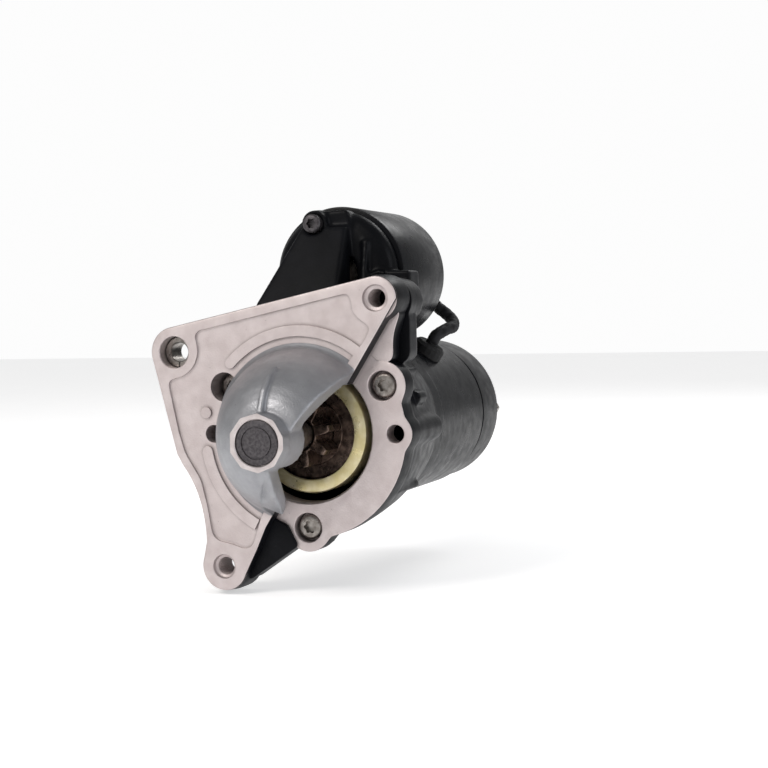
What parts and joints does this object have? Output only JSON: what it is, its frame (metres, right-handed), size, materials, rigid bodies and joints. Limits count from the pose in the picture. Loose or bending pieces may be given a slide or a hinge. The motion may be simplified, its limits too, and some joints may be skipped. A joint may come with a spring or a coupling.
{
  "type": "starter motor",
  "caption": "Starter motor with planetary reduction: cast mounting flange and open nose, sliding pinion, solenoid on top and black motor body.",
  "frame": {"origin": "on the motor axis, in the machined mounting face of the flange", "axes": "+Y along the shaft towards the rear cover, +X right seen from the nose, +Z from the motor to the solenoid"},
  "size_m": [0.1313, 0.2521, 0.186],
  "materials": {
    "cast_aluminium": "as cast with machined faces",
    "black_paint": "satin black paint",
    "black_casting": "satin black paint over cast aluminium",
    "steel": "bare steel",
    "dark_steel": "oiled dark steel",
    "yellow_zinc": "yellow passivated zinc",
    "bronze": "sintered bronze",
    "copper": "bare copper",
    "black_plastic": "glass-filled nylon",
    "rubber": "matt",
    "magnet": "sintered ferrite",
    "carbon": "copper-carbon"
  },
  "bodies": {
    "motor_frame": {"drive_end_housing": "cast_aluminium", "nose_bush": "bronze", "nose_end_cap": "dark_steel", "ear_bushing": "steel", "intermediate_housing": "black_casting", "ring_gear": "black_plastic", "fork_pivot_pin": "steel", "yoke_tube": "black_paint", "brush_holder": "black_plastic", "rear_cover": "black_casting", "rear_bush": "bronze", "solenoid_can": "black_paint", "coil": "copper", "coil_bobbin": "black_plastic", "fixed_core": "steel", "solenoid_end_cap": "black_plastic", "battery_stud": "copper", "motor_stud": "copper", "battery_nut": "steel", "motor_nut": "steel", "trigger_terminal": "steel", "return_spring": "steel", "motor_lead": "rubber", "lead_eye": "copper", "lead_grommet": "rubber", "housing_screw_1": "steel", "solenoid_screw_1": "steel", "housing_screw_2": "steel", "solenoid_screw_2": "steel", "housing_screw_3": "steel", "solenoid_screw_3": "steel", "field_magnet_1": "magnet", "field_magnet_2": "magnet", "field_magnet_3": "magnet", "field_magnet_4": "magnet", "through_bolt_1": "steel", "through_bolt_2": "steel"},
    "armature": {"armature_shaft": "steel", "armature_core": "steel", "armature_winding_front": "copper", "armature_winding_rear": "copper", "commutator": "copper"},
    "carrier": {"output_shaft": "steel", "stop_ring": "steel"},
    "clutch": {"clutch_shell": "yellow_zinc", "clutch_race": "steel", "fork_collar": "black_plastic"},
    "pinion": {"pinion": "dark_steel"},
    "fork": {"shift_fork": "black_plastic"},
    "plunger": {"plunger": "steel", "plunger_hook": "steel"},
    "contact": {"contact_bridge": "steel"},
    "planet_1": {"planet_gear_1": "steel"},
    "planet_2": {"planet_gear_2": "steel"},
    "planet_3": {"planet_gear_3": "steel"},
    "brush_1": {"brush_1": "carbon"},
    "brush_2": {"brush_2": "carbon"},
    "brush_3": {"brush_3": "carbon"},
    "brush_4": {"brush_4": "carbon"}
  },
  "joints": [
    {"name": "armature_spin", "type": "hinge", "parent": "motor_frame", "child": "armature", "pos_m": [0, 0.1, 0], "axis": [0, 1, 0], "continuous": true},
    {"name": "output_spin", "type": "hinge", "parent": "motor_frame", "child": "carrier", "pos_m": [0, 0, 0], "axis": [0, 1, 0], "continuous": true},
    {"name": "plunger_slide", "type": "slide", "parent": "motor_frame", "child": "plunger", "axis": [0, 1, 0], "range_m": [0, 0.00988], "stiffness_N_per_m": 900, "springref_m": -0.012, "deforming": ["return_spring"]},
    {"name": "fork_swing", "type": "hinge", "parent": "motor_frame", "child": "fork", "pos_m": [0, 0.0465, 0.05], "axis": [-1, 0, 0], "range_deg": [0, 21.79]},
    {"name": "pinion_drive_slide", "type": "slide", "parent": "carrier", "child": "clutch", "axis": [0, -1, 0], "range_m": [0, 0.01901]},
    {"name": "pinion_overrun", "type": "hinge", "parent": "clutch", "child": "pinion", "pos_m": [0, 0, 0], "axis": [0, 1, 0], "continuous": true},
    {"name": "contact_slide", "type": "slide", "parent": "motor_frame", "child": "contact", "axis": [0, 1, 0], "range_m": [0, 0.0024], "stiffness_N_per_m": 2500, "springref_m": -0.001},
    {"name": "planet_1_spin", "type": "hinge", "parent": "carrier", "child": "planet_1", "pos_m": [0, 0.082, 0.01823], "axis": [0, 1, 0], "continuous": true},
    {"name": "planet_2_spin", "type": "hinge", "parent": "carrier", "child": "planet_2", "pos_m": [-0.01578, 0.082, -0.00911], "axis": [0, 1, 0], "continuous": true},
    {"name": "planet_3_spin", "type": "hinge", "parent": "carrier", "child": "planet_3", "pos_m": [0.01578, 0.082, -0.00911], "axis": [0, 1, 0], "continuous": true},
    {"name": "brush_1_slide", "type": "slide", "parent": "motor_frame", "child": "brush_1", "axis": [0.7071, 0, 0.7071], "range_m": [0, 0.004], "stiffness_N_per_m": 400, "springref_m": -0.01},
    {"name": "brush_2_slide", "type": "slide", "parent": "motor_frame", "child": "brush_2", "axis": [-0.7071, 0, 0.7071], "range_m": [0, 0.004], "stiffness_N_per_m": 400, "springref_m": -0.01},
    {"name": "brush_3_slide", "type": "slide", "parent": "motor_frame", "child": "brush_3", "axis": [-0.7071, 0, -0.7071], "range_m": [0, 0.004], "stiffness_N_per_m": 400, "springref_m": -0.01},
    {"name": "brush_4_slide", "type": "slide", "parent": "motor_frame", "child": "brush_4", "axis": [0.7071, 0, -0.7071], "range_m": [0, 0.004], "stiffness_N_per_m": 400, "springref_m": -0.01}
  ],
  "couplings": [
    {"joint": "output_spin", "follows": "armature_spin", "ratio": 0.2037},
    {"joint": "planet_1_spin", "follows": "armature_spin", "ratio": -0.54745},
    {"joint": "planet_2_spin", "follows": "armature_spin", "ratio": -0.54745},
    {"joint": "planet_3_spin", "follows": "armature_spin", "ratio": -0.54745},
    {"joint": "fork_swing", "follows": "plunger_slide", "rad_per_m": 38.462},
    {"joint": "pinion_drive_slide", "follows": "plunger_slide", "ratio": 1.9231}
  ]
}
